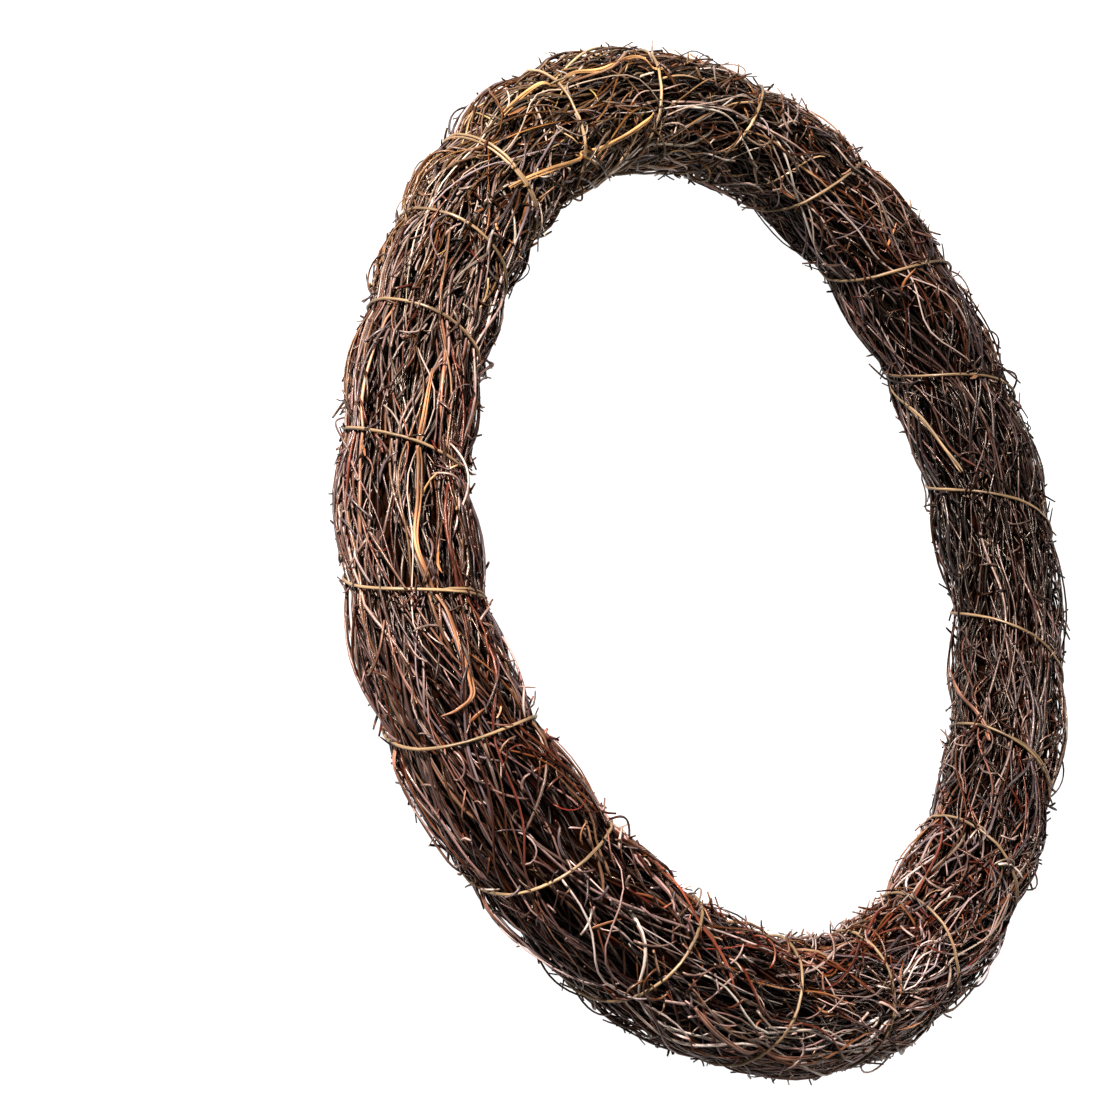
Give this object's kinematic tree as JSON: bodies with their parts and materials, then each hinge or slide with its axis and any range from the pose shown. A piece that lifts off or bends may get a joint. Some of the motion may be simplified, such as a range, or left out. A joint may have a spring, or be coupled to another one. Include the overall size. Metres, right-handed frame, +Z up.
{
  "type": "grapevine wreath",
  "caption": "Round wreath of thin dark grapevine twigs laid lengthwise in a thick ring-shaped bundle, with one smooth vine wound round it; lies flat.",
  "frame": {"origin": "middle of the wreath's underside, on the surface that it lies on", "axes": "+Z up, along the wreath's own axis; +X along its long way across"},
  "size_m": [0.3244, 0.293, 0.0446],
  "materials": {
    "dark_bark": "dry thin bark, dark brown to purple brown, matt with a faint sheen along each twig",
    "vine_skin": "smooth dry vine, olive tan",
    "peeled_wood": "peeled dry twig, tan to golden",
    "red_bark": "dry red brown bark"
  },
  "bodies": {
    "root": {"binding_vine_1": "vine_skin", "binding_vine_2": "vine_skin", "binding_vine_3": "vine_skin", "binding_vine_4": "vine_skin", "binding_vine_5": "vine_skin", "binding_vine_6": "vine_skin", "binding_vine_7": "vine_skin", "pale_vine_1": "peeled_wood", "pale_vine_2": "peeled_wood", "pale_vine_3": "peeled_wood", "pale_vine_4": "peeled_wood", "pale_vine_5": "peeled_wood", "pale_vine_6": "peeled_wood", "pale_vine_7": "peeled_wood", "red_vine_1": "red_bark", "red_vine_2": "red_bark", "red_vine_3": "red_bark", "red_vine_4": "red_bark", "vine_handful_01": "dark_bark", "vine_handful_02": "dark_bark", "vine_handful_03": "dark_bark", "vine_handful_04": "dark_bark", "vine_handful_05": "dark_bark", "vine_handful_06": "dark_bark", "vine_handful_07": "dark_bark", "vine_handful_08": "dark_bark", "vine_handful_09": "dark_bark", "vine_handful_10": "dark_bark", "vine_handful_11": "dark_bark", "vine_handful_12": "dark_bark", "vine_handful_13": "dark_bark", "vine_handful_14": "dark_bark", "vine_handful_15": "dark_bark", "vine_handful_16": "dark_bark", "vine_handful_17": "dark_bark", "vine_handful_18": "dark_bark", "vine_handful_19": "dark_bark", "vine_handful_20": "dark_bark", "vine_handful_21": "dark_bark"}
  },
  "joints": []
}
